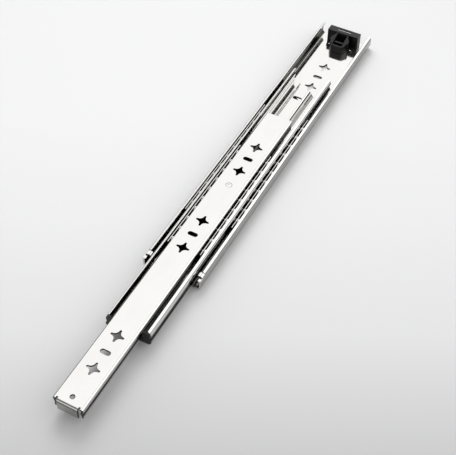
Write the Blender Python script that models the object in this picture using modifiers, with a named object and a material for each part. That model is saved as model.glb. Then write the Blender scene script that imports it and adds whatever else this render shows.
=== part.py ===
"""Ball-bearing cabinet drawer slide: three rolled channels, two ball cages and two plastic bumpers.

Frame: X across the slide, Y along it (the drawer pulls out towards -Y), Z up from the cabinet face.
The origin is the centre of the bottom of the whole slide as it is stored, partly pulled out.
Lengths below are in millimetres and are turned to metres when a mesh is made.
"""
import math

import bmesh
import bpy
from mathutils import Matrix, Vector

MM = 0.001
NAME = "cabinet_drawer_slide"

# Overall sizes
WIDTH = 53.0                 # across the cabinet member
HEIGHT = 19.0                # cabinet face to drawer face
CABINET_LENGTH = 343.7       # the cabinet member on its own
PULLED_OUT = 70.85           # how far each of the two stages is pulled out at rest
CLOSED_FRONT = -48.2         # front edge of the closed slide, from the first hole group

# Sheet and balls
CABINET_SHEET = 1.9
MEMBER_SHEET = 1.8
CAGE_SHEET = 0.6
BALL_RADIUS = 2.7
CLEARANCE = 0.3
BALL_PITCH = 12.4
INNER_BALLS = 10             # on each side
OUTER_BALLS = 11             # on each side
LIP_ANGLE = 66.0             # how far a lip wraps over its balls
GROOVE_ANGLE = 35.0          # how far a groove wraps below its balls

# Heights, from the two faces
INNER_BALL_DROP = 6.05       # drawer face down to the inner balls
BALL_ROW_STEP = 3.82         # inner balls down to the outer balls
PLATEAU_DROP = 7.8           # drawer face down to the plateau of the intermediate member
MEMBER_FLOOR = 3.3           # underside of the intermediate member above the cabinet face
DRAWER_DEPTH = 10.9          # height of the drawer member's walls

# Lengths along the slide, from the first hole group of the closed slide
DRAWER_FRONT = CLOSED_FRONT
DRAWER_REAR = CLOSED_FRONT + CABINET_LENGTH - 10.1
CABINET_REAR = CLOSED_FRONT + CABINET_LENGTH
MIDDLE_FRONT = CLOSED_FRONT + 8.2
MIDDLE_REAR = CLOSED_FRONT + CABINET_LENGTH - 11.0
MIDDLE_NOTCH = 16.8          # how much shorter the plateau is than the flanges
INNER_CAGE_CENTRE = 176.0    # at rest, in the drawer member's lengths
OUTER_CAGE_CENTRE = 85.0     # at rest, in the cabinet member's lengths
CAGE_END = 6.6               # inner cage beyond its last ball
OUTER_CAGE_END = 11.0        # outer cage beyond its last ball

# Holes
GROUPS = (0.0, 128.0, 224.0)     # hole groups along the drawer member
CABINET_GROUP_SHIFT = 4.5
MIDDLE_GROUP_SHIFT = 28.7
STAR_SPACING = 32.0
STAR_REACH = 5.8             # centre to tip
STAR_WAIST = 2.9             # centre to the nearest edge
STAR_TIP = 0.95
SLOT_LENGTH = 8.8
SLOT_WIDTH = 4.2
FRONT_HOLE = -42.05
FRONT_HOLE_RADIUS = 2.1
RIVET_Y = 189.5
RIVET_RADIUS = 2.6
TAB_HALF_WIDTH = 8.7

# Plastic pieces and stops
CAP_THICKNESS = 1.6          # front bumper, ahead of the intermediate member
CAP_FLOOR = 3.6
STUD_X = 10.9
STUD_RADIUS = 1.6
TONGUE_SHEET = 1.5
TONGUE_RADIUS = 2.3          # centre line of the curled stop tongues

# Positions that follow from the sizes above
RACE = BALL_RADIUS + CLEARANCE
HALF = MEMBER_SHEET / 2
INNER_Z = HEIGHT - INNER_BALL_DROP
OUTER_Z = INNER_Z - BALL_ROW_STEP
OUTER_X = WIDTH / 2 - CABINET_SHEET - RACE
INNER_X = OUTER_X - math.sqrt((2 * RACE + MEMBER_SHEET) ** 2 - BALL_ROW_STEP ** 2)
DRAWER_WALL = INNER_X - RACE - HALF + 0.5      # centre line of the drawer member's walls
PLATEAU_X = DRAWER_WALL * 0.44
TROUGH_X = DRAWER_WALL - 1.9
TIGHT_BEND = HALF + 0.1      # centre-line radius of the tightest bends

# Shift of each body from its closed place, and the shift to the common origin
MIDDLE_SHIFT = PULLED_OUT
CABINET_SHIFT = 2 * PULLED_OUT
TAB_FRONT = DRAWER_FRONT - 1.9
ORIGIN_Y = (TAB_FRONT + CABINET_REAR + CABINET_SHIFT) / 2

ZINC = (0.86, 0.855, 0.84)
COLOURS = {
    "zinc_steel": (ZINC, 0.22, 1.0),
    "cage_steel": ((0.62, 0.61, 0.58), 0.35, 1.0),
    "ball_steel": ((0.90, 0.90, 0.90), 0.08, 1.0),
    "black_plastic": ((0.018, 0.018, 0.020), 0.45, 0.0),
}


# ---------------------------------------------------------------- scene helpers

def clear_scene():
    for obj in list(bpy.data.objects):
        bpy.data.objects.remove(obj, do_unlink=True)


def new_collection(name):
    collection = bpy.data.collections.new(name)
    bpy.context.scene.collection.children.link(collection)
    return collection


def make_material(name):
    colour, roughness, metallic = COLOURS[name]
    material = bpy.data.materials.new(name)
    material.use_nodes = True
    shader = material.node_tree.nodes["Principled BSDF"]
    shader.inputs["Base Color"].default_value = (*colour, 1.0)
    shader.inputs["Roughness"].default_value = roughness
    shader.inputs["Metallic"].default_value = metallic
    material.diffuse_color = (*colour, 1.0)
    return material


def add_object(name, mesh, collection, material=None, origin=(0.0, 0.0, 0.0)):
    """Link a mesh given in millimetres; origin is where the object's own origin goes."""
    shift = Vector(origin)
    mesh.transform(Matrix.Scale(MM, 4) @ Matrix.Translation(-shift))
    obj = bpy.data.objects.new(name, mesh)
    obj.location = shift * MM
    collection.objects.link(obj)
    if material:
        mesh.materials.append(material)
    return obj


def add_cutter(name, mesh):
    obj = add_object(name, mesh, cutters)
    obj.hide_render = True
    obj.display_type = "WIRE"
    return obj


def boolean(obj, cutter, operation="DIFFERENCE"):
    modifier = obj.modifiers.new(cutter.name, "BOOLEAN")
    modifier.operation = operation
    modifier.solver = "EXACT"
    modifier.object = cutter


def shade(obj, angle=40.0):
    """Smooth shading with sharp edges where the surface turns sharply."""
    obj.data.shade_smooth()
    obj.data.set_sharp_from_angle(angle=math.radians(angle))


def even_shading(obj):
    """Keep the flat faces flat where a hole or a notch was cut into them."""
    weighted = obj.modifiers.new("even_shading", "WEIGHTED_NORMAL")
    weighted.keep_sharp = True


def mesh_from_bmesh(name, bm):
    bmesh.ops.recalc_face_normals(bm, faces=bm.faces)
    mesh = bpy.data.meshes.new(name)
    bm.to_mesh(mesh)
    bm.free()
    return mesh


def curve_mesh(name, outlines, depth, matrix):
    """Fill closed outlines, extrude them by depth each way and turn them to one mesh."""
    curve = bpy.data.curves.new(name, "CURVE")
    curve.dimensions = "2D"
    curve.fill_mode = "BOTH"
    curve.extrude = depth
    for outline in outlines:
        spline = curve.splines.new("POLY")
        spline.points.add(len(outline) - 1)
        for point, (x, y) in zip(spline.points, outline):
            point.co = (x, y, 0.0, 1.0)
        spline.use_cyclic_u = True
    holder = bpy.data.objects.new(name, curve)
    mesh = bpy.data.meshes.new_from_object(holder)
    bpy.data.objects.remove(holder)
    bm = bmesh.new()
    bm.from_mesh(mesh)
    bmesh.ops.remove_doubles(bm, verts=bm.verts, dist=0.0001)
    bm.transform(matrix)
    bpy.data.meshes.remove(mesh)
    return mesh_from_bmesh(name, bm)


def boxes_mesh(name, boxes):
    """One mesh of boxes, each given by its low and high corners."""
    bm = bmesh.new()
    for low, high in boxes:
        size = Vector(high) - Vector(low)
        centre = (Vector(high) + Vector(low)) / 2
        matrix = Matrix.Translation(centre) @ Matrix.Diagonal((*size, 1.0))
        bmesh.ops.create_cube(bm, size=1.0, matrix=matrix)
    return mesh_from_bmesh(name, bm)


def strip_cutter(name, rows, along, thickness):
    """Thickened strips to be joined to a piece: rows of points, each swept along one vector."""
    bm = bmesh.new()
    for row in rows:
        verts = [bm.verts.new(point) for point in row]
        edges = [bm.edges.new(pair) for pair in zip(verts, verts[1:])]
        swept = bmesh.ops.extrude_edge_only(bm, edges=edges)
        ends = [item for item in swept["geom"] if isinstance(item, bmesh.types.BMVert)]
        bmesh.ops.translate(bm, verts=ends, vec=along)
    strip = add_cutter(name, mesh_from_bmesh(name, bm))
    solid = strip.modifiers.new("thickness", "SOLIDIFY")
    solid.thickness = thickness * MM
    solid.offset = 0.0
    solid.use_even_offset = True
    return strip


def mirrored(boxes):
    """The same boxes again on the other side of X = 0."""
    other = [((-high[0], low[1], low[2]), (-low[0], high[1], high[2])) for low, high in boxes]
    return list(boxes) + other


# ---------------------------------------------------------------- outlines and paths

def arc(centre, radius, start, end, steps):
    """Points on an arc; angles in degrees."""
    points = []
    for i in range(steps + 1):
        angle = math.radians(start + (end - start) * i / steps)
        points.append((centre[0] + radius * math.cos(angle), centre[1] + radius * math.sin(angle)))
    return points


def rounded(corners, steps=4):
    """A path through (x, z, radius) corners, each rounded by its radius; the ends stay sharp."""
    points = [Vector(corners[0][:2])]
    for i in range(1, len(corners) - 1):
        before, here, after = (Vector(corners[j][:2]) for j in (i - 1, i, i + 1))
        to_before = (before - here).normalized()
        to_after = (after - here).normalized()
        half = to_before.angle(to_after) / 2
        radius = corners[i][2]
        reach = radius / math.tan(half)
        centre = here + (to_before + to_after).normalized() * (radius / math.sin(half))
        first = here + to_before * reach - centre
        last = here + to_after * reach - centre
        turn = first.angle_signed(last)
        for k in range(steps + 1):
            points.append(centre + Matrix.Rotation(-turn * k / steps, 2) @ first)
    points.append(Vector(corners[-1][:2]))
    return [tuple(point) for point in points]


def both_sides(half_path):
    """A path from its left end to its right end, from the right half starting on X = 0."""
    right = half_path[1:]
    return [(-x, z) for x, z in reversed(right)] + right


def star(centre_y):
    """A four-pointed hole with round tips and hollow sides."""
    cx, reach = 0.0, STAR_REACH - STAR_TIP
    inner = STAR_WAIST * 1.02
    points = []
    for quarter in range(4):
        turn = math.radians(90 * quarter)
        tip = [(reach + STAR_TIP * math.cos(a), STAR_TIP * math.sin(a))
               for a in (math.radians(d) for d in (-90, -45, 0, 45, 90))]
        start = Vector((reach, STAR_TIP))
        end = Vector((STAR_TIP, reach))
        middle = Vector((inner, inner)) / math.sqrt(2)
        pull = middle * 2 - (start + end) / 2
        side = []
        for k in range(1, 6):
            t = k / 6
            side.append(start * (1 - t) ** 2 + pull * 2 * t * (1 - t) + end * t ** 2)
        for x, y in tip + [tuple(p) for p in side]:
            points.append((cx + x * math.cos(turn) - y * math.sin(turn),
                           centre_y + x * math.sin(turn) + y * math.cos(turn)))
    return points


def slot(centre_y):
    """A slot with round ends that runs across the slide."""
    radius = SLOT_WIDTH / 2
    reach = SLOT_LENGTH / 2 - radius
    return (arc((reach, centre_y), radius, -90, 90, 6)
            + arc((-reach, centre_y), radius, 90, 270, 6))


def circle(centre, radius, steps=16):
    return arc(centre, radius, 0, 360 - 360 / steps, steps - 1)


def hole_groups(shift):
    outlines = []
    for group in GROUPS:
        y = group + shift
        outlines += [star(y - STAR_SPACING / 2), slot(y), star(y + STAR_SPACING / 2)]
    return outlines


# ---------------------------------------------------------------- rolled sheet

def rolled_sheet(name, path, thickness, front, rear, material):
    """A closed channel: a path drawn across the slide, swept along it and thickened."""
    bm = bmesh.new()
    verts = [bm.verts.new((x, front, z)) for x, z in path]
    edges = [bm.edges.new(pair) for pair in zip(verts, verts[1:])]
    swept = bmesh.ops.extrude_edge_only(bm, edges=edges)
    ends = [item for item in swept["geom"] if isinstance(item, bmesh.types.BMVert)]
    bmesh.ops.translate(bm, verts=ends, vec=(0.0, rear - front, 0.0))
    origin = (0.0, (front + rear) / 2, 0.0)
    obj = add_object(name, mesh_from_bmesh(name, bm), parts, material, origin)
    shade(obj)
    solid = obj.modifiers.new("thickness", "SOLIDIFY")
    solid.thickness = thickness * MM
    solid.offset = 0.0
    solid.use_even_offset = True
    return obj


def cabinet_path():
    wall = WIDTH / 2 - CABINET_SHEET / 2
    floor = CABINET_SHEET / 2
    corner = 4.0
    race = RACE + CABINET_SHEET / 2
    half = [(0.0, floor)]
    half += arc((wall - corner, floor + corner), corner, -90, 0, 6)
    half += arc((OUTER_X, OUTER_Z), race, 0, LIP_ANGLE, 6)
    return both_sides(half)


def middle_path():
    floor = MEMBER_FLOOR + HALF
    top = HEIGHT - PLATEAU_DROP - HALF
    race = RACE + HALF
    low = math.radians(GROOVE_ANGLE)
    end_x = OUTER_X - race * math.cos(low)
    end_z = OUTER_Z - race * math.sin(low)
    bulge = (end_z - floor) / (1 + math.sin(low))
    start_x = end_x - bulge * math.cos(low)
    meet = math.degrees(math.atan2(OUTER_Z - INNER_Z, OUTER_X - INNER_X))
    half = rounded([(0.0, top), (PLATEAU_X, top, 1.5), (TROUGH_X, floor, 1.5), (start_x, floor)])
    half += arc((start_x, floor + bulge), bulge, -90, GROOVE_ANGLE, 6)[1:]
    half += arc((OUTER_X, OUTER_Z), race, 180 + GROOVE_ANGLE, 180 + meet, 5)[1:]
    half += arc((INNER_X, INNER_Z), race, meet, LIP_ANGLE, 7)[1:]
    return both_sides(half)


def drawer_path():
    top = HEIGHT - HALF
    groove = INNER_X - RACE - HALF
    half = rounded([
        (0.0, top),
        (DRAWER_WALL, top, TIGHT_BEND),
        (DRAWER_WALL, INNER_Z + 1.9, 1.6),
        (groove - 0.12, INNER_Z + 0.5, 1.2),
        (groove - 0.12, INNER_Z - 0.5, 1.2),
        (DRAWER_WALL - 0.1, INNER_Z - 1.9, 1.6),
        (DRAWER_WALL - 0.1, HEIGHT - DRAWER_DEPTH),
    ], steps=3)
    return both_sides(half)


def inner_cage_path():
    half_cage = CAGE_SHEET / 2
    lift = HALF + CLEARANCE + half_cage + 0.15
    rise = HEIGHT - PLATEAU_DROP - HALF - (MEMBER_FLOOR + HALF)
    run = TROUGH_X - PLATEAU_X
    slope = math.hypot(rise, run)
    low = MEMBER_FLOOR + MEMBER_SHEET + 1.3
    high = HEIGHT - PLATEAU_DROP - HALF + lift
    foot_x = TROUGH_X + lift * rise / slope
    foot_z = MEMBER_FLOOR + HALF + lift * run / slope

    def on_slope(z):
        return foot_x - (z - foot_z) * run / rise

    half = rounded([
        (0.0, high),
        (on_slope(high), high, 1.0),
        (on_slope(low), low, 1.0),
        (INNER_X, low, 1.2),
        (INNER_X, INNER_Z + RACE + 0.8),
    ], steps=3)
    return both_sides(half)


def outer_cage_path():
    floor = MEMBER_FLOOR - CLEARANCE + 0.05 - CAGE_SHEET / 2
    half = rounded([
        (0.0, floor),
        (OUTER_X, floor, 1.6),
        (OUTER_X, OUTER_Z + RACE + 0.8),
    ], steps=4)
    return both_sides(half)


# ---------------------------------------------------------------- the pieces

def face_cutter(name, outlines, low, high):
    matrix = Matrix.Translation((0.0, 0.0, (low + high) / 2))
    return add_cutter(name, curve_mesh(name, outlines, (high - low) / 2, matrix))


def shifted(outlines, shift):
    return [[(x, y + shift) for x, y in outline] for outline in outlines]


def build_cabinet_member(material):
    shift = CABINET_SHIFT - ORIGIN_Y
    front = CLOSED_FRONT + shift
    rear = CABINET_REAR + shift
    obj = rolled_sheet("cabinet_member", cabinet_path(), CABINET_SHEET, front, rear, material)
    holes = hole_groups(CABINET_GROUP_SHIFT + shift)
    boolean(obj, face_cutter("cabinet_holes", holes, -2.0, CABINET_SHEET + 2.0))
    lip_cut = [((OUTER_X - 2.0, front - 1.0, OUTER_Z + 2.2), (WIDTH, front + 8.6, HEIGHT))]
    boolean(obj, add_cutter("front_lip_cut", boxes_mesh("front_lip_cut", mirrored(lip_cut))))
    curl_x = WIDTH / 2 - CABINET_SHEET / 2 - TONGUE_RADIUS
    curl = arc((curl_x, OUTER_Z + 0.8), TONGUE_RADIUS, -20, 190, 10)
    rows = [[(side * x, front + 3.8, z) for x, z in curl] for side in (-1, 1)]
    boolean(obj, strip_cutter("stop_tongues", rows, (0.0, 4.4, 0.0), TONGUE_SHEET), "UNION")
    even_shading(obj)
    return obj


def build_middle_member(material):
    shift = MIDDLE_SHIFT - ORIGIN_Y
    front = MIDDLE_FRONT + shift
    rear = MIDDLE_REAR + shift
    obj = rolled_sheet("intermediate_member", middle_path(), MEMBER_SHEET, front, rear, material)
    top = HEIGHT - PLATEAU_DROP
    slots = [slot(group + MIDDLE_GROUP_SHIFT + shift) for group in GROUPS]
    boolean(obj, face_cutter("middle_slots", slots, top - MEMBER_SHEET - 1.5, top + 1.5))
    reach = TROUGH_X + 0.9
    notch = [((-reach, rear - MIDDLE_NOTCH, -1.0), (reach, rear + 1.0, HEIGHT))]
    boolean(obj, add_cutter("rear_notch", boxes_mesh("rear_notch", notch)))
    even_shading(obj)
    return obj


def build_drawer_member(material):
    front = DRAWER_FRONT - ORIGIN_Y
    rear = DRAWER_REAR - ORIGIN_Y
    obj = rolled_sheet("drawer_member", drawer_path(), MEMBER_SHEET, front, rear, material)
    holes = hole_groups(-ORIGIN_Y)
    holes.append(circle((0.0, FRONT_HOLE - ORIGIN_Y), FRONT_HOLE_RADIUS))
    holes.append(circle((0.0, RIVET_Y - ORIGIN_Y), RIVET_RADIUS + CLEARANCE, 20))
    boolean(obj, face_cutter("drawer_holes", holes, HEIGHT - MEMBER_SHEET - 2.0, HEIGHT + 2.0))
    top = HEIGHT - HALF
    low = HEIGHT - DRAWER_DEPTH
    reach = front - (TAB_FRONT - ORIGIN_Y) - HALF
    path = rounded([(4.0, top), (-reach, top, TIGHT_BEND), (-reach, low)], steps=4)
    row = [(-TAB_HALF_WIDTH, front + y, z) for y, z in path]
    tab = strip_cutter("front_tab", [row], (2 * TAB_HALF_WIDTH, 0.0, 0.0), MEMBER_SHEET)
    boolean(obj, tab, "UNION")
    even_shading(obj)
    return obj


def build_cage(name, path, x, z, count, centre, beyond, material):
    reach = (count - 1) * BALL_PITCH / 2 + beyond
    obj = rolled_sheet(name, path, CAGE_SHEET, centre - reach, centre + reach, material)
    bm = bmesh.new()
    for side in (-1, 1):
        for y in ball_row(count, centre):
            matrix = Matrix.Translation((side * x, y, z)) @ Matrix.Rotation(math.pi / 2, 4, "Y")
            bmesh.ops.create_cone(bm, cap_ends=True, segments=12, radius1=RACE - 0.05,
                                  radius2=RACE - 0.05, depth=3.0, matrix=matrix)
    boolean(obj, add_cutter(name + "_pockets", mesh_from_bmesh(name + "_pockets", bm)))
    even_shading(obj)
    return obj


def ball_row(count, centre):
    return [centre + (i - (count - 1) / 2) * BALL_PITCH for i in range(count)]


def build_balls(prefix, x, z, count, centre, material):
    bm = bmesh.new()
    bmesh.ops.create_uvsphere(bm, u_segments=12, v_segments=8, radius=BALL_RADIUS * MM)
    mesh = mesh_from_bmesh(prefix, bm)
    mesh.materials.append(material)
    mesh.polygons.foreach_set("use_smooth", [True] * len(mesh.polygons))
    for side, word in ((-1, "left"), (1, "right")):
        for number, y in enumerate(ball_row(count, centre), start=1):
            obj = bpy.data.objects.new(f"{prefix}_{word}_{number:02d}", mesh)
            obj.location = Vector((side * x, y, z)) * MM
            parts.objects.link(obj)


def build_rear_bumper(material):
    """An upright wall with a catch loop in front of it, on a base plate held by two studs."""
    shift = CABINET_SHIFT - ORIGIN_Y
    back = CABINET_REAR - 1.8 + shift
    floor = CABINET_SHEET + CLEARANCE
    wall_front = back - 7.6
    nose = back - 23.5
    wall_top = HEIGHT - 4.5
    reach = WIDTH / 2 - 10.6
    plate = STUD_X + STUD_RADIUS + 0.7
    wall = [((-reach, wall_front, floor), (reach, back, wall_top))]
    obj = add_object("rear_bumper", boxes_mesh("rear_bumper", wall), parts, material,
                     (0.0, wall_front, floor))
    base = [((-plate, back - 16.6, floor), (plate, back - 0.8, floor + 1.0))]
    boolean(obj, add_cutter("bumper_base", boxes_mesh("bumper_base", base)), "UNION")
    half = [(6.4, wall_front + 1.0), (6.6, wall_front - 2.5), (9.2, wall_front - 6.0),
            (9.4, wall_front - 9.0), (8.2, wall_front - 10.6), (7.2, nose + 1.8), (5.4, nose)]
    loop = half + [(-x, y) for x, y in reversed(half)]
    depth = (wall_top - 0.5 - floor) / 2
    block = curve_mesh("bumper_loop", [loop], depth, Matrix.Translation((0.0, 0.0, floor + depth)))
    boolean(obj, add_cutter("bumper_loop", block), "UNION")
    pocket = [((-5.0, nose + 1.5, floor + 1.4), (5.0, wall_front - 0.6, wall_top + 4.0))]
    boolean(obj, add_cutter("bumper_pocket", boxes_mesh("bumper_pocket", pocket)))
    catch = [((-4.2, wall_front - 10.4, floor + 0.5), (4.2, wall_front - 8.6, floor + 8.2))]
    boolean(obj, add_cutter("bumper_catch", boxes_mesh("bumper_catch", catch)), "UNION")
    angle = math.atan2(4.0, wall_front - nose)
    tilt = (Matrix.Translation((0.0, wall_front, wall_top - 0.5)) @ Matrix.Rotation(angle, 4, "X")
            @ Matrix.Translation((0.0, -20.0, 5.0)))
    bm = bmesh.new()
    bmesh.ops.create_cube(bm, size=1.0, matrix=tilt @ Matrix.Diagonal((30.0, 40.0, 10.0, 1.0)))
    boolean(obj, add_cutter("bumper_slope", mesh_from_bmesh("bumper_slope", bm)))
    slit = [((-7.0, back - 4.0, wall_top - 6.0), (7.0, back - 2.2, wall_top + 1.0)),
            ((-9.0, back - 2.4, wall_top - 6.2), (9.0, back + 1.0, wall_top - 1.1))]
    for number, opening in enumerate(slit, start=1):
        name = f"bumper_window_{number}"
        boolean(obj, add_cutter(name, boxes_mesh(name, [opening])))
    holes = [circle((side * STUD_X, wall_front - 6.0), STUD_RADIUS + CLEARANCE, 16) for side in (-1, 1)]
    boolean(obj, face_cutter("bumper_stud_holes", holes, 0.0, floor + 1.6))
    for side, word in ((-1, "left"), (1, "right")):
        build_rivet("bumper_stud_" + word, side * STUD_X, wall_front - 6.0, floor + 0.75, STUD_RADIUS,
                    0.0, CABINET_SHEET + CLEARANCE, materials["zinc_steel"])
    return obj


def build_rivet(name, x, y, top, radius, dish, bottom, material):
    """A turned pin on a vertical axis, with an optional shallow dish in its head."""
    profile = [(0.0, top - dish), (radius * 0.3, top - dish), (radius * 0.45, top)]
    profile += [(radius - 0.2, top), (radius, top - 0.2), (radius, bottom), (0.0, bottom)]
    bm = bmesh.new()
    verts = [bm.verts.new((x + r, y, z)) for r, z in profile]
    for pair in zip(verts, verts[1:]):
        bm.edges.new(pair)
    mesh = bpy.data.meshes.new(name)
    bm.to_mesh(mesh)
    bm.free()
    obj = add_object(name, mesh, parts, material, (x, y, top))
    turned = obj.modifiers.new("turned", "SCREW")
    turned.steps = 20
    turned.render_steps = 20
    turned.use_merge_vertices = True
    turned.merge_threshold = 0.00001
    turned.use_smooth_shade = True
    return obj


def front_cap_outline():
    """Outline of the front bumper: it caps each flange's end, with a dent at the outer ball row."""
    gap = HEIGHT - DRAWER_DEPTH - 0.6
    inside = DRAWER_WALL + HALF + 0.8
    foot = OUTER_X - RACE - 1.6
    half = arc((foot, CAP_FLOOR + 2.9), 2.9, -90, 20, 5)
    half += arc((OUTER_X, OUTER_Z), RACE + 0.2, 205, 165, 3)
    half += arc((INNER_X, INNER_Z), RACE + HALF + 0.4, -20, 75, 6)
    half += [(inside + 0.7, INNER_Z + 4.0), (inside, INNER_Z + 3.3), (inside, gap)]
    return half + [(-x, z) for x, z in reversed(half)]


def build_front_bumper(material):
    back = MIDDLE_FRONT - CLEARANCE + MIDDLE_SHIFT - ORIGIN_Y
    front = back - CAP_THICKNESS
    gap = HEIGHT - DRAWER_DEPTH - 0.6
    upright = Matrix.Translation((0.0, (front + back) / 2, 0.0)) @ Matrix.Rotation(math.pi / 2, 4, "X")
    mesh = curve_mesh("front_bumper", [front_cap_outline()], (back - front) / 2, upright)
    obj = add_object("front_bumper", mesh, parts, material, (0.0, back, CAP_FLOOR))
    top = HEIGHT - PLATEAU_DROP - MEMBER_SHEET - CLEARANCE
    reach = PLATEAU_X - 0.9
    tongue = [((-reach, back - 1.0, CAP_FLOOR), (reach, back + 10.0, min(top, gap) - 0.1))]
    boolean(obj, add_cutter("bumper_tongue", boxes_mesh("bumper_tongue", tongue)), "UNION")
    bevel = obj.modifiers.new("soft_edges", "BEVEL")
    bevel.width = 0.35 * MM
    bevel.segments = 1
    bevel.limit_method = "ANGLE"
    bevel.angle_limit = math.radians(50)
    return obj


clear_scene()
parts = new_collection(NAME)
cutters = new_collection("cutters")
cutters.hide_render = True
materials = {name: make_material(name) for name in COLOURS}

build_cabinet_member(materials["zinc_steel"])
build_middle_member(materials["zinc_steel"])
build_drawer_member(materials["zinc_steel"])
build_rear_bumper(materials["black_plastic"])
build_front_bumper(materials["black_plastic"])
build_rivet("drawer_stop_rivet", 0.0, RIVET_Y - ORIGIN_Y, HEIGHT - 0.05, RIVET_RADIUS, 0.35,
            HEIGHT - MEMBER_SHEET - 1.2, materials["zinc_steel"])

outer_centre = OUTER_CAGE_CENTRE + CABINET_SHIFT - ORIGIN_Y
inner_centre = INNER_CAGE_CENTRE - ORIGIN_Y
build_cage("outer_ball_cage", outer_cage_path(), OUTER_X, OUTER_Z, OUTER_BALLS, outer_centre,
           OUTER_CAGE_END, materials["cage_steel"])
build_cage("inner_ball_cage", inner_cage_path(), INNER_X, INNER_Z, INNER_BALLS, inner_centre,
           CAGE_END, materials["cage_steel"])
build_balls("outer_ball", OUTER_X, OUTER_Z, OUTER_BALLS, outer_centre, materials["ball_steel"])
build_balls("inner_ball", INNER_X, INNER_Z, INNER_BALLS, inner_centre, materials["ball_steel"])
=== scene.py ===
"""Looks of the ball-bearing cabinet drawer slide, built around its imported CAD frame.

Shapes are worked out in millimetres, in the frame's own axes: X across the slide, Y along it
(the drawer pulls out towards -Y) and Z up from the cabinet face. Meshes are made in metres.
"""
import math

import bmesh
import bpy
import numpy as np
from mathutils import Matrix, Vector


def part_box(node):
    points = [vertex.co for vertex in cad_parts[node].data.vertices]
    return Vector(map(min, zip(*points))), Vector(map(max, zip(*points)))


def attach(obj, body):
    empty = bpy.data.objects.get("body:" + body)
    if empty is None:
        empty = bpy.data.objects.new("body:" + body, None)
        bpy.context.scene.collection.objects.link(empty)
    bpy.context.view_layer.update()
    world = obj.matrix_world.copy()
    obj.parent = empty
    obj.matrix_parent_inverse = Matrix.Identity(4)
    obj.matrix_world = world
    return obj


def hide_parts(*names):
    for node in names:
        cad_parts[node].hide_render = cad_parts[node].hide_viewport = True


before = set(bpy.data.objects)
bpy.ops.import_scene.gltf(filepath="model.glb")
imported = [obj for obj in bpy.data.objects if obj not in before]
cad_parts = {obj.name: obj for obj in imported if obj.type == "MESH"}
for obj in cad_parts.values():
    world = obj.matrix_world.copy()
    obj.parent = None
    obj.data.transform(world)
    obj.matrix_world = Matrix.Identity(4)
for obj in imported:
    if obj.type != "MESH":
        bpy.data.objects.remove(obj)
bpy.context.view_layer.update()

MM = 0.001

# The same sizes as in the CAD source
WIDTH = 53.0
HEIGHT = 19.0
CABINET_SHEET = 1.9
MEMBER_SHEET = 1.8
CAGE_SHEET = 0.6
BALL_RADIUS = 2.7
CLEARANCE = 0.3
LIP_ANGLE = 66.0
GROOVE_ANGLE = 35.0
INNER_BALL_DROP = 6.05
BALL_ROW_STEP = 3.82
PLATEAU_DROP = 7.8
MEMBER_FLOOR = 3.3
DRAWER_DEPTH = 10.9
MIDDLE_NOTCH = 16.8
GROUPS = (0.0, 128.0, 224.0)
STAR_SPACING = 32.0
STAR_REACH = 5.8
STAR_WAIST = 2.9
STAR_TIP = 0.95
SLOT_LENGTH = 8.8
SLOT_WIDTH = 4.2
TAB_HALF_WIDTH = 8.7
RELIEF = 1.6                               # notch at each side of the drawer member's tab
STUD_X = 10.9
STUD_RADIUS = 1.6
CAP_FLOOR = 3.6
TONGUE_SHEET = 1.5
TONGUE_RADIUS = 2.3
TAB_REACH = 1.9                            # how far the folded tab stands in front of the web
FIRST_GROUP = 48.2                         # from a member's front to its first hole group
CABINET_GROUP_SHIFT = 4.5
MIDDLE_FIRST_GROUP = 40.0
MIDDLE_GROUP_SHIFT = 28.7

RACE = BALL_RADIUS + CLEARANCE
HALF = MEMBER_SHEET / 2
INNER_Z = HEIGHT - INNER_BALL_DROP
OUTER_Z = INNER_Z - BALL_ROW_STEP
OUTER_X = WIDTH / 2 - CABINET_SHEET - RACE
INNER_X = OUTER_X - math.sqrt((2 * RACE + MEMBER_SHEET) ** 2 - BALL_ROW_STEP ** 2)
DRAWER_WALL = INNER_X - RACE - HALF + 0.5
PLATEAU_X = DRAWER_WALL * 0.44
TROUGH_X = DRAWER_WALL - 1.9


def span(node):
    """Where a CAD node starts and ends along the slide, in millimetres."""
    low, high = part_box(node)
    return low.y / MM, high.y / MM


CABINET_FRONT, CABINET_REAR = span("cabinet_member")
MIDDLE_FRONT, MIDDLE_REAR = span("intermediate_member")
TAB_FRONT, DRAWER_REAR = span("drawer_member")
DRAWER_FRONT = TAB_FRONT + TAB_REACH
# Where the first hole group of each member lies
DRAWER_ZERO = DRAWER_FRONT + FIRST_GROUP
CABINET_ZERO = CABINET_FRONT + FIRST_GROUP + CABINET_GROUP_SHIFT
MIDDLE_ZERO = MIDDLE_FRONT + MIDDLE_FIRST_GROUP + MIDDLE_GROUP_SHIFT

# The finishes of a channel, in the order of its material slots: painted shade in the races,
# painted shade on hole walls and bends, painted shade on outward and forward faces
RACE_SHADE_FACE, EDGE_SHADE_FACE, SIDE_SHADE_FACE = 1, 2, 3
HIGHLIGHT_RIM_FACE = 1                               # a painted highlight: bright zinc along the upper edge of a cage strip

# Painted light on the floor: its tone from the front of the view to its rear, darker towards the
# front
FLOOR_LIGHT_WAY = (-0.462, 0.887, 0.0)
FLOOR_LIGHT_REACH = (-0.242, 0.281)
FLOOR_LIGHT_TONES = ((0.0, 0.403), (0.036, 0.424), (0.195, 0.503), (0.408, 0.526), (0.647, 0.524),
               (0.965, 0.486), (1.0, 0.48))


# ---------------------------------------------------------------- materials

def nodes_of(name):
    material = bpy.data.materials.new(name)
    material.use_nodes = True
    tree = material.node_tree
    return material, tree, tree.nodes["Principled BSDF"]


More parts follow.
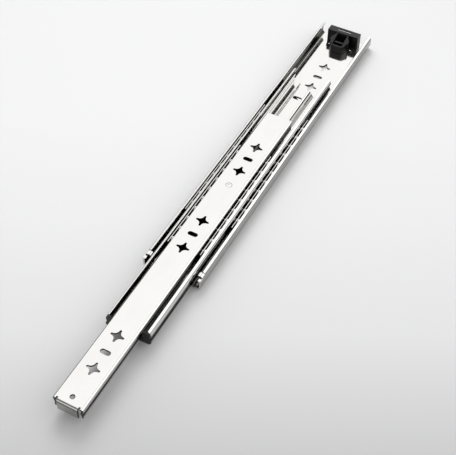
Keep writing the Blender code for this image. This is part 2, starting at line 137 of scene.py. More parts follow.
def noise(tree, scale, detail=3.0, stretch=(1.0, 1.0, 1.0), rough=0.5):
    """A noise pattern in the frame's own coordinates."""
    place = tree.nodes.new("ShaderNodeTexCoord")
    mapping = tree.nodes.new("ShaderNodeMapping")
    mapping.inputs["Scale"].default_value = stretch
    pattern = tree.nodes.new("ShaderNodeTexNoise")
    pattern.inputs["Scale"].default_value = scale
    pattern.inputs["Detail"].default_value = detail
    pattern.inputs["Roughness"].default_value = rough
    tree.links.new(place.outputs["Object"], mapping.inputs["Vector"])
    tree.links.new(mapping.outputs["Vector"], pattern.inputs["Vector"])
    return pattern.outputs["Fac"]


def ramp(tree, value, stops):
    """A colour ramp over a value; stops are (position, colour)."""
    node = tree.nodes.new("ShaderNodeValToRGB")
    elements = node.color_ramp.elements
    while len(elements) < len(stops):
        elements.new(0.5)
    for element, (position, colour) in zip(elements, stops):
        element.position = position
        element.color = (*colour, 1.0)
    tree.links.new(value, node.inputs["Fac"])
    return node.outputs["Color"]


def mapped(tree, value, low, high, start=0.3, end=0.7):
    node = tree.nodes.new("ShaderNodeMapRange")
    node.inputs["From Min"].default_value = start
    node.inputs["From Max"].default_value = end
    node.inputs["To Min"].default_value = low
    node.inputs["To Max"].default_value = high
    tree.links.new(value, node.inputs["Value"])
    return node.outputs["Result"]


def blended(tree, a, b, share, kind="MIX"):
    node = tree.nodes.new("ShaderNodeMix")
    node.data_type = "RGBA"
    node.blend_type = kind
    node.inputs["Factor"].default_value = share
    tree.links.new(a, node.inputs["A"])
    tree.links.new(b, node.inputs["B"])
    return node.outputs["Result"]


def bumped(tree, shader, height, strength, distance):
    node = tree.nodes.new("ShaderNodeBump")
    node.inputs["Strength"].default_value = strength
    node.inputs["Distance"].default_value = distance
    tree.links.new(height, node.inputs["Height"])
    tree.links.new(node.outputs["Normal"], shader.inputs["Normal"])


def zinc_material(name, light, dark, low_rough, high_rough):
    """Bright zinc plate over rolled strip: lengthwise rolling lines and faint cloudy patches."""
    material, tree, shader = nodes_of(name)
    lines = noise(tree, 1.0, 4.0, (1400.0, 14.0, 1400.0), 0.6)
    clouds = noise(tree, 55.0, 4.0, (1.0, 0.5, 1.0), 0.55)
    colour = blended(tree, ramp(tree, clouds, ((0.35, dark), (0.65, light))),
                     ramp(tree, lines, ((0.3, dark), (0.7, light))), 0.35)
    tree.links.new(colour, shader.inputs["Base Color"])
    rough = blended(tree, mapped(tree, lines, low_rough, high_rough),
                    mapped(tree, clouds, low_rough, high_rough), 0.5)
    tree.links.new(rough, shader.inputs["Roughness"])
    shader.inputs["Metallic"].default_value = 1.0
    bumped(tree, shader, lines, 0.05, 0.00003)
    return material


def plastic_material():
    material, tree, shader = nodes_of("black_plastic")
    grain = noise(tree, 2600.0, 2.0)
    clouds = noise(tree, 160.0, 3.0)
    colour = ramp(tree, clouds, ((0.3, (0.003, 0.003, 0.0033)), (0.7, (0.006, 0.006, 0.0063))))
    tree.links.new(colour, shader.inputs["Base Color"])
    tree.links.new(mapped(tree, clouds, 0.32, 0.42), shader.inputs["Roughness"])
    shader.inputs["Specular IOR Level"].default_value = 0.3
    bumped(tree, shader, grain, 0.25, 0.00004)
    return material


def ball_material():
    material, tree, shader = nodes_of("ball_steel")
    smears = noise(tree, 420.0, 3.0)
    colour = ramp(tree, smears, ((0.35, (0.74, 0.74, 0.73)), (0.6, (0.90, 0.90, 0.90))))
    tree.links.new(colour, shader.inputs["Base Color"])
    tree.links.new(mapped(tree, smears, 0.05, 0.14), shader.inputs["Roughness"])
    shader.inputs["Metallic"].default_value = 1.0
    return material


def floor_material():
    """Matt board with painted light: a little darker towards the front than towards the rear."""
    material, tree, shader = nodes_of("studio_floor")
    grain = noise(tree, 900.0, 2.0)
    place = tree.nodes.new("ShaderNodeTexCoord")
    along = tree.nodes.new("ShaderNodeVectorMath")
    along.operation = "DOT_PRODUCT"
    along.inputs[1].default_value = FLOOR_LIGHT_WAY
    tree.links.new(place.outputs["Object"], along.inputs[0])
    # painted light fall-off across the floor
    share = mapped(tree, along.outputs["Value"], 0.0, 1.0, *FLOOR_LIGHT_REACH)
    stops = [(position, (tone, tone, tone * 1.004)) for position, tone in FLOOR_LIGHT_TONES]
    speckle = ramp(tree, grain, ((0.3, (0.99, 0.99, 0.99)), (0.7, (1.0, 1.0, 1.0))))
    tree.links.new(blended(tree, ramp(tree, share, stops), speckle, 1.0, "MULTIPLY"),
                   shader.inputs["Base Color"])
    shader.inputs["Roughness"].default_value = 0.9
    shader.inputs["Specular IOR Level"].default_value = 0.2
    return material


ZINC = zinc_material("bright_zinc", (0.665, 0.66, 0.648), (0.635, 0.628, 0.614), 0.075, 0.125)
# painted shade: near-black zinc for the ball races and the hollows inside the bends, where the
# gaps between members lie in shade
RACE_SHADE = zinc_material("race_painted_shade", (0.062, 0.061, 0.058), (0.02, 0.0195, 0.018), 0.14, 0.30)
# painted shade: darker zinc for the cabinet's outer walls and the tab's front, which mirror the
# shaded floor
SIDE_SHADE = zinc_material("side_painted_shade", (0.40, 0.396, 0.388), (0.33, 0.326, 0.318), 0.12, 0.2)
# painted shade: near-black zinc on the walls of punched holes and notches and along the drawer's
# bends
EDGE_SHADE = zinc_material("edge_painted_shade", (0.10, 0.098, 0.095), (0.05, 0.049, 0.047), 0.35, 0.55)
CAGE = zinc_material("cage_steel", (0.10, 0.098, 0.094), (0.05, 0.049, 0.047), 0.24, 0.38)
BALL = ball_material()
PLASTIC = plastic_material()


# ---------------------------------------------------------------- mesh tools

def new_object(name, bm, materials, sharp=35.0):
    bmesh.ops.recalc_face_normals(bm, faces=bm.faces)
    mesh = bpy.data.meshes.new(name)
    bm.to_mesh(mesh)
    bm.free()
    mesh.transform(Matrix.Scale(MM, 4))
    for material in materials:
        mesh.materials.append(material)
    mesh.shade_smooth()
    mesh.set_sharp_from_angle(angle=math.radians(sharp))
    obj = bpy.data.objects.new(name, mesh)
    bpy.context.scene.collection.objects.link(obj)
    return obj


def even_normals(obj):
    weighted = obj.modifiers.new("even_shading", "WEIGHTED_NORMAL")
    weighted.keep_sharp = True
    return obj


def paint(obj, index, wanted):
    """Give a material to the faces that wanted(centre, normal) picks; centre is in millimetres."""
    for polygon in obj.data.polygons:
        if wanted(polygon.center / MM, polygon.normal):
            polygon.material_index = index
    return obj


def near(centre, x, z, reach):
    """Whether a point lies within reach of the ball row that runs along x, z on either side."""
    return math.hypot(abs(centre.x) - x, centre.z - z) < reach


def in_hole(centre, normal, low, high):
    """Whether a face is the wall of a hole punched through a web between two heights."""
    return abs(centre.x) < STAR_REACH + 0.1 and low < centre.z < high and abs(normal.z) < 0.6


def piece(obj, body, slot, *nodes):
    """Hand a finished piece to the frame: its body and the CAD nodes it stands for; the slot is
    not used.
    """
    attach(obj, body)
    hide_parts(*nodes)
    return obj


def arc(centre, radius, start, end, steps):
    points = []
    for i in range(steps + 1):
        angle = math.radians(start + (end - start) * i / steps)
        points.append((centre[0] + radius * math.cos(angle), centre[1] + radius * math.sin(angle)))
    return points


def rounded(corners, steps=8):
    """A path through (x, z, radius) corners, each rounded by its radius; the ends stay sharp."""
    points = [Vector(corners[0][:2])]
    for i in range(1, len(corners) - 1):
        before, here, after = (Vector(corners[j][:2]) for j in (i - 1, i, i + 1))
        to_before = (before - here).normalized()
        to_after = (after - here).normalized()
        half = to_before.angle(to_after) / 2
        radius = corners[i][2]
        reach = radius / math.tan(half)
        centre = here + (to_before + to_after).normalized() * (radius / math.sin(half))
        first = here + to_before * reach - centre
        last = here + to_after * reach - centre
        turn = first.angle_signed(last)
        for k in range(steps + 1):
            points.append(centre + Matrix.Rotation(-turn * k / steps, 2) @ first)
    points.append(Vector(corners[-1][:2]))
    return [tuple(point) for point in points]


def both_sides(half_path):
    right = half_path[1:]
    return [(-x, z) for x, z in reversed(right)] + right


def distinct(points, least=0.002):
    kept = [points[0]]
    for point in points[1:]:
        if math.dist(point, kept[-1]) > least:
            kept.append(point)
    return kept


def trimmed(points, length):
    """The path with a length taken off its far end."""
    points = list(points)
    while True:
        step = math.dist(points[-1], points[-2])
        if step > length + 1e-6:
            share = length / step
            last = [a + (b - a) * share for a, b in zip(points[-1], points[-2])]
            return points[:-1] + [tuple(last)]
        length -= step
        points.pop()


def directions(points, closed):
    pts = np.array(points, float)
    step = np.roll(pts, -1, axis=0) - pts if closed else np.diff(pts, axis=0)
    return step / np.linalg.norm(step, axis=1)[:, None]


def mitres(points, closed=False):
    """The left-hand normal at each point, longer at corners so that offsets keep their width."""
    way = directions(points, closed)
    left = np.stack([-way[:, 1], way[:, 0]], axis=1)
    if closed:
        before, after = np.roll(left, 1, axis=0), left
    else:
        before = np.vstack([left[:1], left])
        after = np.vstack([left, left[-1:]])
    total = before + after
    return total / (1.0 + (before * after).sum(axis=1))[:, None]


def thickened(path, thickness, corner=0.4, steps=4):
    """The closed outline of a strip along a path, with its two cut edges rounded."""
    path = distinct(path)
    path = trimmed(list(reversed(trimmed(path, corner))), corner)
    path.reverse()
    pts = np.array(path)
    normal = mitres(path)
    half = thickness / 2
    left = pts + normal * half
    right = pts - normal * half
    way = directions(path, False)

    def cap(end, forward, side):
        flat = np.array([-forward[1], forward[0]]) * side
        made = []
        for sign in (1, -1):
            turns = range(1, steps + 1) if sign == 1 else range(steps, 0, -1)
            for k in turns:
                t = math.radians(90.0 * k / steps)
                wide = (half - corner + corner * math.cos(t)) * sign
                made.append(end + flat * wide + forward * corner * math.sin(t))
        return made

    loop = list(left) + cap(pts[-1], way[-1], 1) + list(right[::-1]) + cap(pts[0], -way[0], 1)
    return np.array(distinct([tuple(p) for p in loop]))


def swept(outline, front, rear, edge=0.3, steps=4):
    """Extrude a closed outline along Y, with its two ends rounded over."""
    area = sum(a[0] * b[1] - b[0] * a[1] for a, b in zip(outline, np.roll(outline, -1, axis=0)))
    inward = mitres(outline, closed=True) * (1 if area > 0 else -1)
    rings = []
    for k in range(steps + 1):
        t = math.radians(90.0 * k / steps)
        rings.append((edge - edge * math.cos(t), edge - edge * math.sin(t)))
    stations = [(front + along, inset) for along, inset in rings]
    stations += [(rear - along, inset) for along, inset in reversed(rings)]
    bm = bmesh.new()
    loops = []
    for y, inset in stations:
        ring = outline + inward * inset
        loops.append([bm.verts.new((x, y, z)) for x, z in ring])
    count = len(outline)
    for one, other in zip(loops, loops[1:]):
        for i in range(count):
            j = (i + 1) % count
            bm.faces.new((one[i], one[j], other[j], other[i]))
    bm.faces.new(loops[0])
    bm.faces.new(list(reversed(loops[-1])))
    return bm


def prism(outline, low, high):
    """A flat outline in X and Y made solid between two heights."""
    bm = bmesh.new()
    bottom = [bm.verts.new((x, y, low)) for x, y in outline]
    top = [bm.verts.new((x, y, high)) for x, y in outline]
    count = len(outline)
    for i in range(count):
        j = (i + 1) % count
        bm.faces.new((bottom[i], bottom[j], top[j], top[i]))
    bm.faces.new(list(reversed(bottom)))
    bm.faces.new(top)
    return bm


def box(low, high):
    bm = bmesh.new()
    size = Vector(high) - Vector(low)
    centre = (Vector(high) + Vector(low)) / 2
    bmesh.ops.create_cube(bm, size=1.0,
                          matrix=Matrix.Translation(centre) @ Matrix.Diagonal((*size, 1.0)))
    return bm


def joined(bms):
    mesh = bpy.data.meshes.new("joined")
    total = bmesh.new()
    for bm in bms:
        bm.to_mesh(mesh)
        bm.free()
        total.from_mesh(mesh)
    bpy.data.meshes.remove(mesh)
    return total


def combined(base, steps):
    """Apply exact Booleans to a bmesh; steps are (operation, other bmesh)."""
    holders = []

    def holder(bm):
        bmesh.ops.recalc_face_normals(bm, faces=bm.faces)
        mesh = bpy.data.meshes.new("work")
        bm.to_mesh(mesh)
        bm.free()
        obj = bpy.data.objects.new("work", mesh)
        bpy.context.scene.collection.objects.link(obj)
        holders.append(obj)
        return obj

    target = holder(base)
    for operation, other in steps:
        modifier = target.modifiers.new("cut", "BOOLEAN")
        modifier.operation = operation
        modifier.solver = "EXACT"
        modifier.object = holder(other)
    bpy.context.view_layer.update()
    graph = bpy.context.evaluated_depsgraph_get()
    made = bpy.data.meshes.new_from_object(target.evaluated_get(graph))
    bm = bmesh.new()
    bm.from_mesh(made)
    bpy.data.meshes.remove(made)
    for obj in holders:
        mesh = obj.data
        bpy.data.objects.remove(obj)
        bpy.data.meshes.remove(mesh)
    return bm


END_REACH = 0.35              # how near an end an edge counts as part of its rounding


def soften(bm, width=0.2, segments=2, least=50.0, ends=()):
    """Round every edge that turns by more than an angle, except at ends that are round already."""
    bmesh.ops.remove_doubles(bm, verts=bm.verts, dist=0.002)
    bmesh.ops.dissolve_degenerate(bm, dist=0.001, edges=bm.edges)
    limit = math.radians(least)
    edges = [e for e in bm.edges if len(e.link_faces) == 2 and e.calc_face_angle(0.0) > limit
             and not any(abs(v.co.y - end) < END_REACH for v in e.verts for end in ends)]
    bmesh.ops.bevel(bm, geom=edges, offset=width, offset_type="OFFSET", segments=segments,
                    profile=0.5, affect="EDGES", clamp_overlap=True)
    return bm


def star(centre_y):
    reach = STAR_REACH - STAR_TIP
    inner = STAR_WAIST * 1.02
    points = []
    for quarter in range(4):
        turn = math.radians(90 * quarter)
        tip = [(reach + STAR_TIP * math.cos(a), STAR_TIP * math.sin(a))
               for a in (math.radians(d) for d in range(-90, 91, 15))]
        start = Vector((reach, STAR_TIP))
        end = Vector((STAR_TIP, reach))
        pull = Vector((inner, inner)) * math.sqrt(2) - (start + end) / 2
        side = []
        for k in range(1, 14):
            t = k / 14
            side.append(start * (1 - t) ** 2 + pull * 2 * t * (1 - t) + end * t ** 2)
        for x, y in tip + [tuple(p) for p in side]:
            points.append((x * math.cos(turn) - y * math.sin(turn),
                           centre_y + x * math.sin(turn) + y * math.cos(turn)))
    return distinct(points)


def slot_outline(centre_y):
    radius = SLOT_WIDTH / 2
    reach = SLOT_LENGTH / 2 - radius
    return (arc((reach, centre_y), radius, -90, 90, 16)
            + arc((-reach, centre_y), radius, 90, 270, 16))


def circle(centre, radius, steps=40):
    return arc(centre, radius, 0, 360 - 360 / steps, steps - 1)


def hole_cutters(zero, low, high):
    cutters = []
    for group in GROUPS:
        y = zero + group
        for outline in (star(y - STAR_SPACING / 2), slot_outline(y), star(y + STAR_SPACING / 2)):
            cutters.append(prism(outline, low, high))
    return cutters


def turned(profile, steps=40):
    """A solid of revolution about Z from (radius, z) points that start and end on the axis."""
    bm = bmesh.new()
    verts = [bm.verts.new((r, 0.0, z)) for r, z in profile]
    edges = [bm.edges.new(pair) for pair in zip(verts, verts[1:])]
    bmesh.ops.spin(bm, geom=verts + edges, cent=(0, 0, 0), axis=(0, 0, 1), dvec=(0, 0, 0),
                   angle=2 * math.pi, steps=steps, use_merge=False, use_duplicate=False)
    bmesh.ops.remove_doubles(bm, verts=bm.verts, dist=0.0005)
    return bm


# ---------------------------------------------------------------- cross-sections

def cabinet_path():
    wall = WIDTH / 2 - CABINET_SHEET / 2
    floor = CABINET_SHEET / 2
    corner = 4.0
    half = [(0.0, floor)]
    half += arc((wall - corner, floor + corner), corner, -90, 0, 14)
    half += arc((OUTER_X, OUTER_Z), RACE + CABINET_SHEET / 2, 0, LIP_ANGLE, 14)
    return both_sides(half)


def middle_path():
    floor = MEMBER_FLOOR + HALF
    top = HEIGHT - PLATEAU_DROP - HALF
    race = RACE + HALF
    low = math.radians(GROOVE_ANGLE)
    end_x = OUTER_X - race * math.cos(low)
    end_z = OUTER_Z - race * math.sin(low)
    bulge = (end_z - floor) / (1 + math.sin(low))
    start_x = end_x - bulge * math.cos(low)
    meet = math.degrees(math.atan2(OUTER_Z - INNER_Z, OUTER_X - INNER_X))
    half = rounded([(0.0, top), (PLATEAU_X, top, 1.5), (TROUGH_X, floor, 1.5), (start_x, floor)])
    half += arc((start_x, floor + bulge), bulge, -90, GROOVE_ANGLE, 12)[1:]
    half += arc((OUTER_X, OUTER_Z), race, 180 + GROOVE_ANGLE, 180 + meet, 10)[1:]
    half += arc((INNER_X, INNER_Z), race, meet, LIP_ANGLE, 16)[1:]
    return both_sides(half)


def drawer_path():
    top = HEIGHT - HALF
    groove = INNER_X - RACE - HALF
    half = rounded([
        (0.0, top),
        (DRAWER_WALL + 0.5, top, HALF + 0.1),
        (DRAWER_WALL + 0.1, INNER_Z + 1.9, 1.6),
        (groove - 0.12, INNER_Z + 0.5, 1.2),
        (groove - 0.12, INNER_Z - 0.5, 1.2),
        (DRAWER_WALL - 0.1, INNER_Z - 1.9, 1.6),
        (DRAWER_WALL - 0.1, HEIGHT - DRAWER_DEPTH),
    ], steps=8)
    return both_sides(half)


def inner_cage_path():
    half_cage = CAGE_SHEET / 2
    lift = HALF + CLEARANCE + half_cage + 0.15
    rise = HEIGHT - PLATEAU_DROP - HALF - (MEMBER_FLOOR + HALF)
    run = TROUGH_X - PLATEAU_X
    slope = math.hypot(rise, run)
    low = MEMBER_FLOOR + MEMBER_SHEET + 1.3
    high = HEIGHT - PLATEAU_DROP - HALF + lift
    foot_x = TROUGH_X + lift * rise / slope
    foot_z = MEMBER_FLOOR + HALF + lift * run / slope

    def on_slope(z):
        return foot_x - (z - foot_z) * run / rise

    half = rounded([
        (0.0, high),
        (on_slope(high), high, 1.0),
        (on_slope(low), low, 1.0),
        (INNER_X, low, 1.2),
        (INNER_X, INNER_Z + RACE + 0.8),
    ], steps=6)
    return both_sides(half)


def outer_cage_path():
    floor = MEMBER_FLOOR - CLEARANCE + 0.05 - CAGE_SHEET / 2
    half = rounded([
        (0.0, floor),
        (OUTER_X, floor, 1.6),
        (OUTER_X, OUTER_Z + RACE + 0.8),
    ], steps=8)
    return both_sides(half)


# ---------------------------------------------------------------- the pieces

def cabinet_channel():
    bm = swept(thickened(cabinet_path(), CABINET_SHEET), CABINET_FRONT, CABINET_REAR)
    cuts = [("DIFFERENCE", joined(hole_cutters(CABINET_ZERO, -2.0, CABINET_SHEET + 2.0)))]
    lips = [box((side * OUTER_X - (2.0 if side > 0 else 10.0), CABINET_FRONT - 1.0, OUTER_Z + 2.2),
                (side * OUTER_X + (10.0 if side > 0 else 2.0), CABINET_FRONT + 8.6, HEIGHT))
            for side in (-1, 1)]
    cuts.append(("DIFFERENCE", joined(lips)))
    curl_x = WIDTH / 2 - CABINET_SHEET / 2 - TONGUE_RADIUS
    tongues = []
    for side in (-1, 1):
        curl = [(side * x, z)
                for x, z in arc((curl_x, OUTER_Z + 0.8), TONGUE_RADIUS, -20, 190, 18)]
        tongues.append(swept(thickened(curl, TONGUE_SHEET),
                             CABINET_FRONT + 3.8, CABINET_FRONT + 8.2))
    bm = joined([soften(combined(bm, cuts), 0.25, ends=(CABINET_FRONT, CABINET_REAR))] + tongues)
    obj = new_object("cabinet_channel", bm, [ZINC, RACE_SHADE, EDGE_SHADE, SIDE_SHADE])
    # painted shade on the outward-facing walls
    paint(obj, SIDE_SHADE_FACE,
          lambda c, n: abs(c.x) > OUTER_X and c.x * n.x > 0.0 and abs(n.x) > 0.78)
    # painted shade in the outer ball races and inside the bends below them
    paint(obj, RACE_SHADE_FACE, lambda c, n: near(c, OUTER_X, OUTER_Z, RACE + 0.25) and c.z > 3.0)
    paint(obj, RACE_SHADE_FACE,
          lambda c, n: abs(c.x) > OUTER_X and c.x * n.x < -0.3 * abs(c.x) and c.z < OUTER_Z)
    # painted shade on the walls of the punched holes
    paint(obj, EDGE_SHADE_FACE, lambda c, n: in_hole(c, n, 0.1, CABINET_SHEET - 0.1) and n.y < 0.3)
    return even_normals(obj)


def middle_channel():
    bm = swept(thickened(middle_path(), MEMBER_SHEET), MIDDLE_FRONT, MIDDLE_REAR)
    top = HEIGHT - PLATEAU_DROP
    slots = [prism(slot_outline(MIDDLE_ZERO + group), top - MEMBER_SHEET - 1.5, top + 1.5)
             for group in GROUPS]
    reach = TROUGH_X + 0.9
    notch = box((-reach, MIDDLE_REAR - MIDDLE_NOTCH, -1.0), (reach, MIDDLE_REAR + 1.0, HEIGHT))
    bm = soften(combined(bm, [("DIFFERENCE", joined(slots)), ("DIFFERENCE", notch)]), 0.2,
                ends=(MIDDLE_FRONT, MIDDLE_REAR))
    # The rounded ends throw a few points outwards where the section bends back
    widest = INNER_X + RACE + MEMBER_SHEET
    for vertex in bm.verts:
        vertex.co.x = max(-widest, min(widest, vertex.co.x))
    obj = new_object("intermediate_channel", bm, [ZINC, RACE_SHADE, EDGE_SHADE])
    # painted shade in both ball races
    paint(obj, RACE_SHADE_FACE, lambda c, n: near(c, OUTER_X, OUTER_Z, RACE + 0.25))
    paint(obj, RACE_SHADE_FACE, lambda c, n: near(c, INNER_X, INNER_Z, RACE + 0.25))
    # painted shade on the walls of the punched holes
    paint(obj, EDGE_SHADE_FACE, lambda c, n: in_hole(c, n, top - MEMBER_SHEET + 0.1, top - 0.1))
    return even_normals(obj)


def drawer_channel():
    bm = swept(thickened(drawer_path(), MEMBER_SHEET), DRAWER_FRONT, DRAWER_REAR)
    cutters = hole_cutters(DRAWER_ZERO, HEIGHT - MEMBER_SHEET - 2.0, HEIGHT + 2.0)
    cutters.append(prism(circle((0.0, DRAWER_FRONT + 6.15), 2.1), HEIGHT - 4.0, HEIGHT + 2.0))
    rivet_low, rivet_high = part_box("drawer_stop_rivet")
    rivet_y = (rivet_low.y + rivet_high.y) / 2 / MM
    cutters.append(prism(circle((0.0, rivet_y), 2.75), HEIGHT - 4.0, HEIGHT + 2.0))
    for side in (-1, 1):
        middle = side * (TAB_HALF_WIDTH + RELIEF / 2 - 0.12)
        cutters.append(box((middle - RELIEF / 2, DRAWER_FRONT - 1.0, HEIGHT - MEMBER_SHEET - 1.0),
                           (middle + RELIEF / 2, DRAWER_FRONT + RELIEF, HEIGHT + 1.0)))
    top = HEIGHT - HALF - 0.2
    reach = DRAWER_FRONT - TAB_FRONT - HALF
    path = rounded([(4.0, top), (-reach, top, HALF + 0.1), (-reach, HEIGHT - DRAWER_DEPTH)],
                   steps=8)
    outline = thickened(path, MEMBER_SHEET, 0.45)
    tab = swept(outline, -TAB_HALF_WIDTH, TAB_HALF_WIDTH, 0.3)
    turn = Matrix(((0, 1, 0, 0), (1, 0, 0, DRAWER_FRONT), (0, 0, 1, 0), (0, 0, 0, 1)))
    tab.transform(turn)
    bm = combined(bm, [("DIFFERENCE", joined(cutters)), ("UNION", tab)])
    bm = soften(bm, 0.2, ends=(DRAWER_REAR,))
    obj = new_object("drawer_channel", bm, [ZINC, RACE_SHADE, EDGE_SHADE, SIDE_SHADE])
    # painted shade in the inner ball races
    paint(obj, RACE_SHADE_FACE, lambda c, n: near(c, INNER_X, INNER_Z, RACE + 0.55))
    # a painted dark line along the left edge of the drawer's face
    paint(obj, EDGE_SHADE_FACE,
          lambda c, n: c.x < 0.0 and c.z > HEIGHT - MEMBER_SHEET and -0.98 < n.x < -0.45)
    # painted shade on the walls of the notches beside the tab
    paint(obj, EDGE_SHADE_FACE,
          lambda c, n: abs(c.x) > TAB_HALF_WIDTH - 0.1 and c.y < DRAWER_FRONT + RELIEF + 0.2
          and abs(n.z) < 0.8)
    # a painted dark line along the bend at the top of the tab
    paint(obj, EDGE_SHADE_FACE,
          lambda c, n: abs(c.x) < TAB_HALF_WIDTH and c.y < DRAWER_FRONT + 0.5
          and -0.36 < n.y < -0.04 and n.z > 0.5)
    # painted shade on the front faces of the folded tab
    paint(obj, SIDE_SHADE_FACE, lambda c, n: abs(c.x) < TAB_HALF_WIDTH and n.y < -0.75)
    # painted shade on the walls of the punched holes
    paint(obj, EDGE_SHADE_FACE, lambda c, n: in_hole(c, n, HEIGHT - MEMBER_SHEET + 0.1, HEIGHT - 0.1))
    return even_normals(obj)


def ball_places(prefix):
    """Centre of each ball's CAD node, in millimetres, keyed by the node's name."""
    found = {}
    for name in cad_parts:
        if name.startswith(prefix):
            low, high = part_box(name)
            found[name] = (low + high) / 2 / MM
    return found


def cage_strip(name, path, node, places):
    front, rear = span(node)
    bm = swept(thickened(path, CAGE_SHEET, 0.18, 3), front, rear, 0.15, 3)
    pockets = []
    for centre in places.values():
        bit = bmesh.new()
        matrix = Matrix.Translation(centre) @ Matrix.Rotation(math.pi / 2, 4, "Y")
        bmesh.ops.create_cone(bit, cap_ends=True, segments=32, radius1=RACE - 0.05,
                              radius2=RACE - 0.05, depth=3.0, matrix=matrix)
        pockets.append(bit)
    bm = soften(combined(bm, [("DIFFERENCE", joined(pockets))]), 0.08, 1)
    obj = new_object(name, bm, [CAGE, ZINC])
    # painted highlight: the top of the strip gets bright zinc
    highlight_rim = max(vertex.co.z for vertex in obj.data.vertices) / MM - 0.25
    paint(obj, HIGHLIGHT_RIM_FACE, lambda c, n: c.z > highlight_rim)
    return even_normals(obj)


def balls(body, places, label):
    mesh = None
    for node, centre in sorted(places.items()):
        name = node.replace("ball", label)
        if mesh is None:
            bm = bmesh.new()
            bmesh.ops.create_uvsphere(bm, u_segments=32, v_segments=16, radius=BALL_RADIUS)
            obj = new_object(name, bm, [BALL], 180.0)
            mesh = obj.data
        else:
            obj = bpy.data.objects.new(name, mesh)
            bpy.context.scene.collection.objects.link(obj)
        obj.location = centre * MM
        piece(obj, body, "ball_steel", node)


RIVET_DISH = 0.35
DOMED = 0.0


def stud(name, node, body, dish):
    """A ring rivet with a dished middle, or a domed pin where the dish is 0."""
    low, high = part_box(node)
    centre = (low + high) / 2 / MM
    top, bottom = high.z / MM, low.z / MM
    radius = (high.x - low.x) / 2 / MM
    if dish > 0.0:
        profile = [(0.0, top - dish), (radius * 0.22, top - dish),
                   (radius * 0.34, top - dish * 0.7),
                   (radius * 0.46, top - 0.06), (radius * 0.56, top), (radius - 0.35, top),
                   (radius - 0.12, top - 0.08), (radius, top - 0.3)]
    else:
        dome = arc((0.0, top - radius), radius, 90, 35, 10)
        profile = [(max(r, 0.0), z) for r, z in dome] + [(radius * 0.9, top - 0.72)]
    profile += [(profile[-1][0], bottom), (0.0, bottom)]
    bm = turned(profile)
    bmesh.ops.translate(bm, verts=bm.verts, vec=(centre.x, centre.y, 0.0))
    obj = even_normals(new_object(name, bm, [ZINC], 40.0))
    return piece(obj, body, "zinc_steel", node)


def rear_bumper():
    low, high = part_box("rear_bumper")
    back, floor, top = high.y / MM, low.z / MM, high.z / MM
    wall = back - 7.6
    nose = back - 23.5
    reach = high.x / MM
    plate = STUD_X + STUD_RADIUS + 0.7
    body = box((-reach, wall, floor), (reach, back, top))
    base = box((-plate, back - 16.6, floor), (plate, back - 0.8, floor + 1.0))
    side = [(6.4, wall + 1.0), (6.6, wall - 2.5), (9.2, wall - 6.0), (9.4, wall - 9.0),
            (8.2, wall - 10.6), (7.2, nose + 1.8), (5.4, nose)]
    loop = prism(side + [(-x, y) for x, y in reversed(side)], floor, top - 0.5)
    pocket = box((-5.0, nose + 1.5, floor + 1.4), (5.0, wall - 0.6, top + 4.0))
    catch = box((-4.2, wall - 10.4, floor + 0.5), (4.2, wall - 8.6, floor + 8.2))
    angle = math.atan2(4.0, wall - nose)
    tilt = (Matrix.Translation((0.0, wall, top - 0.5)) @ Matrix.Rotation(angle, 4, "X")
            @ Matrix.Translation((0.0, -20.0, 5.0)))
    slope = bmesh.new()
    bmesh.ops.create_cube(slope, size=1.0, matrix=tilt @ Matrix.Diagonal((30.0, 40.0, 10.0, 1.0)))
    slit = box((-7.0, back - 4.0, top - 6.0), (7.0, back - 2.2, top + 1.0))
    window = box((-9.0, back - 2.4, top - 6.2), (9.0, back + 1.0, top - 1.1))
    studs = [prism(circle((s * STUD_X, wall - 6.0), STUD_RADIUS + 0.2), 0.0, floor + 1.6)
             for s in (-1, 1)]
    bm = combined(body, [("UNION", base), ("UNION", loop), ("DIFFERENCE", pocket),
                         ("UNION", catch), ("DIFFERENCE", slope), ("DIFFERENCE", slit),
                         ("DIFFERENCE", window), ("DIFFERENCE", joined(studs))])
    bm = soften(bm, 0.35, 3, 30.0)
    return even_normals(new_object("rear_bumper_moulding", bm, [PLASTIC], 30.0))


def front_cap_outline():
    """The cap's outline: it covers each flange's end, with a dent at the outer ball row."""
    gap = HEIGHT - DRAWER_DEPTH - 0.6
    inside = DRAWER_WALL + HALF + 0.8
    foot = OUTER_X - RACE - 1.6
    half = arc((foot, CAP_FLOOR + 2.9), 2.9, -90, 20, 12)
    half += arc((OUTER_X, OUTER_Z), RACE + 0.2, 205, 165, 6)
    half += arc((INNER_X, INNER_Z), RACE + HALF + 0.4, -20, 75, 14)
    half += [(inside + 0.7, INNER_Z + 4.0), (inside, INNER_Z + 3.3), (inside, gap)]
    return half + [(-x, z) for x, z in reversed(half)]


def front_bumper():
    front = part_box("front_bumper")[0].y / MM
    back = MIDDLE_FRONT - CLEARANCE
    outline = front_cap_outline()
    bm = bmesh.new()
    rings = [[bm.verts.new((x, y, z)) for x, z in outline] for y in (front, back)]
    count = len(outline)
    for i in range(count):
        j = (i + 1) % count
        bm.faces.new((rings[0][i], rings[0][j], rings[1][j], rings[1][i]))
    bm.faces.new(rings[0])
    bm.faces.new(list(reversed(rings[1])))
    top = min(HEIGHT - PLATEAU_DROP - MEMBER_SHEET - CLEARANCE, HEIGHT - DRAWER_DEPTH - 0.6) - 0.1
    reach = PLATEAU_X - 0.9
    tongue = box((-reach, back - 1.0, CAP_FLOOR), (reach, back + 10.0, top))
    bm = soften(combined(bm, [("UNION", tongue)]), 0.3, 3, 40.0)
    return even_normals(new_object("front_bumper_moulding", bm, [PLASTIC], 30.0))


inner_places = ball_places("inner_ball_left") | ball_places("inner_ball_right")
outer_places = ball_places("outer_ball_left") | ball_places("outer_ball_right")

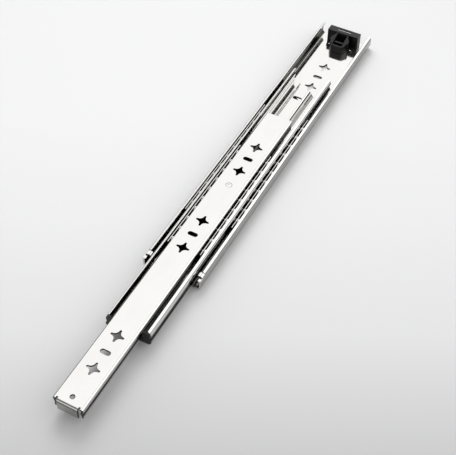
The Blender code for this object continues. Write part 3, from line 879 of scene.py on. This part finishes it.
piece(cabinet_channel(), "cabinet", "zinc_steel", "cabinet_member")
piece(middle_channel(), "intermediate", "zinc_steel", "intermediate_member")
piece(drawer_channel(), "drawer", "zinc_steel", "drawer_member")
piece(rear_bumper(), "cabinet", "black_plastic", "rear_bumper")
piece(front_bumper(), "intermediate", "black_plastic", "front_bumper")
piece(cage_strip("outer_cage_strip", outer_cage_path(), "outer_ball_cage", outer_places),
      "outer_cage", "cage_steel", "outer_ball_cage")
piece(cage_strip("inner_cage_strip", inner_cage_path(), "inner_ball_cage", inner_places),
      "inner_cage", "cage_steel", "inner_ball_cage")
balls("outer_cage", outer_places, "bearing")
balls("inner_cage", inner_places, "bearing")
stud("stop_rivet", "drawer_stop_rivet", "drawer", RIVET_DISH)
stud("bumper_pin_left", "bumper_stud_left", "cabinet", DOMED)
stud("bumper_pin_right", "bumper_stud_right", "cabinet", DOMED)


# ---------------------------------------------------------------- studio

# Brightness of the studio by angle from overhead, in degrees towards +X; full strength is 1
SKY_PANELS = ((-90, 0.50), (-85, 1.3), (-72, 1.4), (-60, 1.0), (2, 1.0), (6, 0.25), (14, 0.25),
              (20, 1.4), (72, 1.4), (79, 0.9), (84, 0.04), (90, 0.04))
SKY_FRONT = 0.55                           # what is left of it towards the slide's front
SKY_STRENGTH = 1.45
FLOOR_RADIUS = 12000.0
FLOOR_GAP = 0.05                           # keeps the floor clear of the slide's underside
SENSOR_WIDTH = 36.0
LENS = 76.49
CAMERA_PLACE = (0.25792, -0.49944, 0.60623)
CAMERA_RIGHT = (0.8820, 0.4711, 0.0087)
CAMERA_BACK = (0.3036, -0.5823, 0.7541)


def area_light(name, place, target, size, radiance):
    """A soft rectangular light given by its brightness, which is what a polished face mirrors."""
    light = bpy.data.lights.new(name, "AREA")
    light.shape = "RECTANGLE"
    light.size, light.size_y = size
    light.energy = radiance * math.pi * size[0] * size[1]
    obj = bpy.data.objects.new(name, light)
    bpy.context.scene.collection.objects.link(obj)
    obj.location = place
    obj.rotation_euler = (Vector(target) - Vector(place)).to_track_quat("-Z", "Y").to_euler()
    return obj


def sky_of_softboxes():
    """Bright panels around a dark gap overhead, drawn by the angle round the slide's length."""
    world = bpy.data.worlds.new("studio")
    bpy.context.scene.world = world
    world.use_nodes = True
    tree = world.node_tree
    background = tree.nodes["Background"]
    place = tree.nodes.new("ShaderNodeTexCoord")
    parts = tree.nodes.new("ShaderNodeSeparateXYZ")
    angle = tree.nodes.new("ShaderNodeMath")
    angle.operation = "ARCTAN2"
    tree.links.new(place.outputs["Generated"], parts.inputs["Vector"])
    tree.links.new(parts.outputs["X"], angle.inputs[0])
    tree.links.new(parts.outputs["Z"], angle.inputs[1])
    share = mapped(tree, angle.outputs["Value"], 0.0, 1.0, -math.pi / 2, math.pi / 2)
    stops = []
    for degrees, level in SKY_PANELS:
        stops.append((degrees / 180 + 0.5, (level, level, level)))
    panels = ramp(tree, share, stops)
    depth = mapped(tree, parts.outputs["Y"], SKY_FRONT, 1.0, -0.15, 0.15)
    tree.links.new(blended(tree, panels, depth, 1.0, "MULTIPLY"), background.inputs["Color"])
    background.inputs["Strength"].default_value = SKY_STRENGTH


def studio():
    floor = bmesh.new()
    bmesh.ops.create_circle(floor, cap_ends=True, segments=96, radius=FLOOR_RADIUS)
    bmesh.ops.translate(floor, verts=floor.verts, vec=(0.0, 0.0, -FLOOR_GAP))
    stage = new_object("studio_floor", floor, [floor_material()])
    sky_of_softboxes()
    fill = area_light("floor_fill", (-0.45, 0.75, 0.9), (-0.1, 0.3, 0.0), (0.8, 0.8), 6.0)
    fill.visible_glossy = False


def camera():
    data = bpy.data.cameras.new("camera")
    data.sensor_width = SENSOR_WIDTH
    data.lens = LENS
    data.clip_start = 0.01
    obj = bpy.data.objects.new("camera", data)
    bpy.context.scene.collection.objects.link(obj)
    right = Vector(CAMERA_RIGHT)
    back = Vector(CAMERA_BACK).normalized()
    right = (right - back * right.dot(back)).normalized()
    up = back.cross(right)
    turn = Matrix((right, up, back)).transposed().to_4x4()
    obj.matrix_world = Matrix.Translation(CAMERA_PLACE) @ turn
    bpy.context.scene.camera = obj


studio()
camera()
bpy.context.scene.view_settings.view_transform = "Standard"
